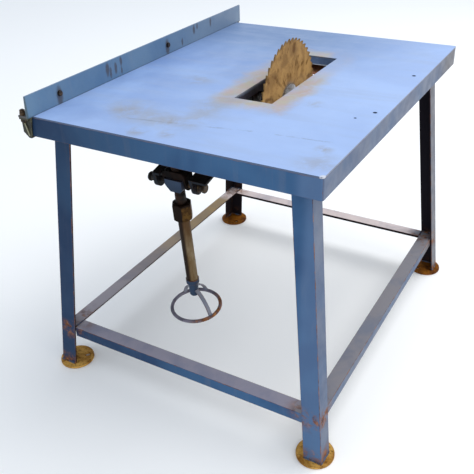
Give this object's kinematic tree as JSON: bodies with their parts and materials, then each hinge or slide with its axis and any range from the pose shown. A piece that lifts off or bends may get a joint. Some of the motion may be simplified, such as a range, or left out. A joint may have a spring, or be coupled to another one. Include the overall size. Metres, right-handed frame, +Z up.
{
  "type": "circular table saw",
  "caption": "Workshop-made circular table saw: splayed angle-iron stand, flat steel top with a blade slot, sliding side fence, and a handwheel screw that raises the arbor.",
  "frame": {"origin": "on the floor, midway between the anchor holes in the foot discs", "axes": "+Z up, out of the table's working face; +Y from the handwheel side to the back; +X to the right"},
  "size_m": [0.8994, 1.0712, 0.9035],
  "materials": {
    "top_paint": "satin light blue paint with rust stains round the blade slot",
    "frame_paint": "satin blue paint, worn at the edges and rusted at the welds",
    "worn_paint": "worn blue-grey paint over brown steel",
    "rusty_steel": "rusted steel",
    "bare_steel": "turned steel, tarnished",
    "dark_iron": "greasy dark brown steel",
    "blade_steel": "rust-stained tool steel",
    "pipe_steel": "grey-brown drawn steel",
    "wheel_steel": "worn dark paint, rusted on one side",
    "motor_paint": "grey-blue enamel on ribbed cast metal",
    "cover_paint": "black enamel on pressed sheet",
    "black_plastic": "moulded nylon",
    "belt_rubber": "fabric-wrapped rubber"
  },
  "bodies": {
    "stand": {"table_plate": "top_paint", "apron_front": "frame_paint", "apron_right": "frame_paint", "apron_back": "frame_paint", "apron_left": "frame_paint", "slot_rim": "frame_paint", "cross_member": "rusty_steel", "leg_front_left": "frame_paint", "leg_front_right": "frame_paint", "leg_back_left": "frame_paint", "leg_back_right": "frame_paint", "stretcher_front": "frame_paint", "stretcher_back": "frame_paint", "stretcher_left": "frame_paint", "stretcher_right": "frame_paint", "foot_front_left": "rusty_steel", "foot_front_right": "rusty_steel", "foot_back_left": "rusty_steel", "foot_back_right": "rusty_steel", "hinge_hangers": "frame_paint", "hinge_pin": "bare_steel", "thrust_bracket": "frame_paint"},
    "rip_fence": {"fence": "frame_paint", "fence_bolts": "rusty_steel", "fence_hook_front": "dark_iron", "fence_hook_back": "dark_iron", "fence_clamp_bolts": "rusty_steel"},
    "swing_frame": {"swing_arm_left": "worn_paint", "swing_arm_right": "worn_paint", "swing_cross_bars": "worn_paint", "bearing_housing_left": "worn_paint", "bearing_housing_right": "worn_paint", "arbor_bearings": "bare_steel", "housing_bolts": "rusty_steel", "motor_plate": "worn_paint", "motor_plate_bolts": "rusty_steel", "motor_body": "motor_paint", "motor_flange": "motor_paint", "motor_fan_cover": "cover_paint", "terminal_box": "motor_paint", "cable_gland": "black_plastic", "v_belt": "belt_rubber"},
    "arbor": {"arbor_shaft": "bare_steel", "arbor_pulley": "dark_iron", "blade_flange_inner": "bare_steel", "saw_blade": "blade_steel", "blade_flange_outer": "bare_steel", "arbor_nut": "bare_steel"},
    "motor_rotor": {"motor_shaft": "bare_steel", "motor_pulley": "dark_iron"},
    "trunnion": {"trunnion_nut": "worn_paint", "saddle_strap": "dark_iron", "pivot_bolts": "rusty_steel"},
    "lift_screw": {"lift_rod": "dark_iron", "coupling_nut": "dark_iron", "lift_pipe": "pipe_steel", "handwheel_hub": "worn_paint", "handwheel_ring": "wheel_steel", "handwheel_spokes": "wheel_steel", "thrust_nut": "bare_steel"}
  },
  "joints": [
    {"name": "lift_screw_turn", "type": "hinge", "parent": "stand", "child": "lift_screw", "pos_m": [-0.03, -0.39, 0.644], "axis": [0, -0.0872, 0.9962], "range_deg": [-2900, 360]},
    {"name": "swing_frame_pivot", "type": "hinge", "parent": "stand", "child": "swing_frame", "pos_m": [-0.03, -0.215, 0.68289], "axis": [1, 0, 0], "range_deg": [-16, 2]},
    {"name": "trunnion_pivot", "type": "hinge", "parent": "swing_frame", "child": "trunnion", "pos_m": [-0.03, -0.39, 0.644], "axis": [1, 0, 0], "range_deg": [-2, 16]},
    {"name": "arbor_spin", "type": "hinge", "parent": "swing_frame", "child": "arbor", "pos_m": [-0.03, 0.024, 0.736], "axis": [1, 0, 0], "continuous": true},
    {"name": "motor_spin", "type": "hinge", "parent": "swing_frame", "child": "motor_rotor", "pos_m": [-0.03, 0.15016, 0.61038], "axis": [1, 0, 0], "continuous": true},
    {"name": "fence_slide", "type": "slide", "parent": "stand", "child": "rip_fence", "axis": [1, 0, 0], "range_m": [0, 0.38]}
  ],
  "couplings": [
    {"joint": "swing_frame_pivot", "follows": "lift_screw_turn", "ratio": 0.0055},
    {"joint": "trunnion_pivot", "follows": "lift_screw_turn", "ratio": -0.0055},
    {"joint": "motor_spin", "follows": "arbor_spin", "ratio": 0.7}
  ]
}
